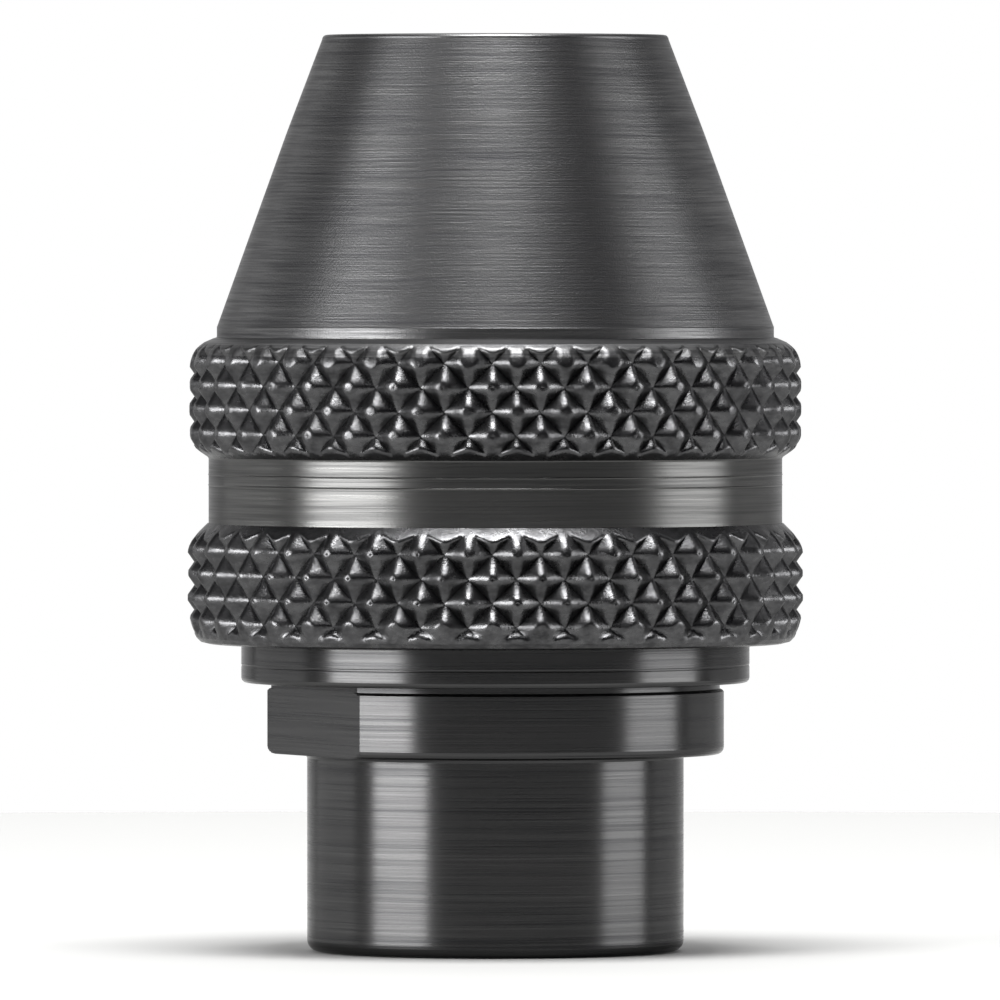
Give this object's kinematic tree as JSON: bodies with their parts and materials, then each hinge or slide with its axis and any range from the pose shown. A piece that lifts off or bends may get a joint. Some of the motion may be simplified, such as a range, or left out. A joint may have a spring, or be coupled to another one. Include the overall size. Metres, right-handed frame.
{
  "type": "keyless drill chuck",
  "caption": "Small keyless drill chuck with a coned screw-on sleeve, knurled grip rings, gripping jaws in the nose, wrench flats and a threaded hub.",
  "frame": {"origin": "centre of the hub's rear face, on the spindle axis", "axes": "+Z along the spindle axis towards the nose; the two wrench flats face -X and +X"},
  "size_m": [0.02, 0.02, 0.0298],
  "materials": {
    "hub_black_oxide": "turned, black oxide, satin",
    "sleeve_black_oxide": "turned and knurled, black oxide",
    "spring_steel": "drawn wire, oiled",
    "bearing_steel": "ground and polished",
    "cage_brass": "stamped brass",
    "guide_steel": "ground steel",
    "jaw_steel": "hardened, ground steel"
  },
  "bodies": {
    "hub": {"hub": "hub_black_oxide", "rear_race": "bearing_steel"},
    "stop_ring": {"stop_ring": "spring_steel"},
    "sleeve": {"sleeve": "sleeve_black_oxide"},
    "cage": {"ball_cage": "cage_brass", "ball_1": "bearing_steel", "ball_2": "bearing_steel", "ball_3": "bearing_steel", "ball_4": "bearing_steel", "ball_5": "bearing_steel", "ball_6": "bearing_steel", "ball_7": "bearing_steel", "ball_8": "bearing_steel", "ball_9": "bearing_steel", "ball_10": "bearing_steel", "ball_11": "bearing_steel", "ball_12": "bearing_steel"},
    "guide": {"jaw_guide": "guide_steel", "front_race": "bearing_steel"},
    "jaw_1": {"jaw_1": "jaw_steel"},
    "jaw_2": {"jaw_2": "jaw_steel"},
    "jaw_3": {"jaw_3": "jaw_steel"},
    "spring_1": {"jaw_spring_1": "spring_steel"},
    "spring_2": {"jaw_spring_2": "spring_steel"},
    "spring_3": {"jaw_spring_3": "spring_steel"}
  },
  "joints": [
    {"name": "sleeve_travel", "type": "slide", "parent": "hub", "child": "stop_ring", "axis": [0, 0, 1], "range_m": [0, 0.0033]},
    {"name": "sleeve_turn", "type": "hinge", "parent": "stop_ring", "child": "sleeve", "pos_m": [0, 0, 0.02], "axis": [0, 0, 1], "range_deg": [0, 1189]},
    {"name": "cage_turn", "type": "hinge", "parent": "hub", "child": "cage", "pos_m": [0, 0, 0.0164], "axis": [0, 0, 1], "range_deg": [0, 595]},
    {"name": "guide_turn", "type": "hinge", "parent": "hub", "child": "guide", "pos_m": [0, 0, 0.0178], "axis": [0, 0, 1], "range_deg": [0, 1189]},
    {"name": "jaw_1_slide", "type": "slide", "parent": "guide", "child": "jaw_1", "axis": [1, 0, 0], "range_m": [0, 0.00121]},
    {"name": "jaw_2_slide", "type": "slide", "parent": "guide", "child": "jaw_2", "axis": [-0.5, 0.866, 0], "range_m": [0, 0.00121]},
    {"name": "jaw_3_slide", "type": "slide", "parent": "guide", "child": "jaw_3", "axis": [-0.5, -0.866, 0], "range_m": [0, 0.00121]},
    {"name": "spring_1_slide", "type": "slide", "parent": "guide", "child": "spring_1", "axis": [0.5, 0.866, 0], "range_m": [0, 0.000605]},
    {"name": "spring_2_slide", "type": "slide", "parent": "guide", "child": "spring_2", "axis": [-1, 0, 0], "range_m": [0, 0.000605]},
    {"name": "spring_3_slide", "type": "slide", "parent": "guide", "child": "spring_3", "axis": [0.5, -0.866, 0], "range_m": [0, 0.000605]}
  ],
  "couplings": [
    {"joint": "sleeve_turn", "follows": "sleeve_travel", "rad_per_m": 6283.2},
    {"joint": "cage_turn", "follows": "sleeve_travel", "rad_per_m": 3141.6},
    {"joint": "guide_turn", "follows": "sleeve_travel", "rad_per_m": 6283.2},
    {"joint": "jaw_1_slide", "follows": "sleeve_travel", "ratio": 0.36416},
    {"joint": "jaw_2_slide", "follows": "sleeve_travel", "ratio": 0.36416},
    {"joint": "jaw_3_slide", "follows": "sleeve_travel", "ratio": 0.36416},
    {"joint": "spring_1_slide", "follows": "sleeve_travel", "ratio": 0.18208},
    {"joint": "spring_2_slide", "follows": "sleeve_travel", "ratio": 0.18208},
    {"joint": "spring_3_slide", "follows": "sleeve_travel", "ratio": 0.18208}
  ]
}
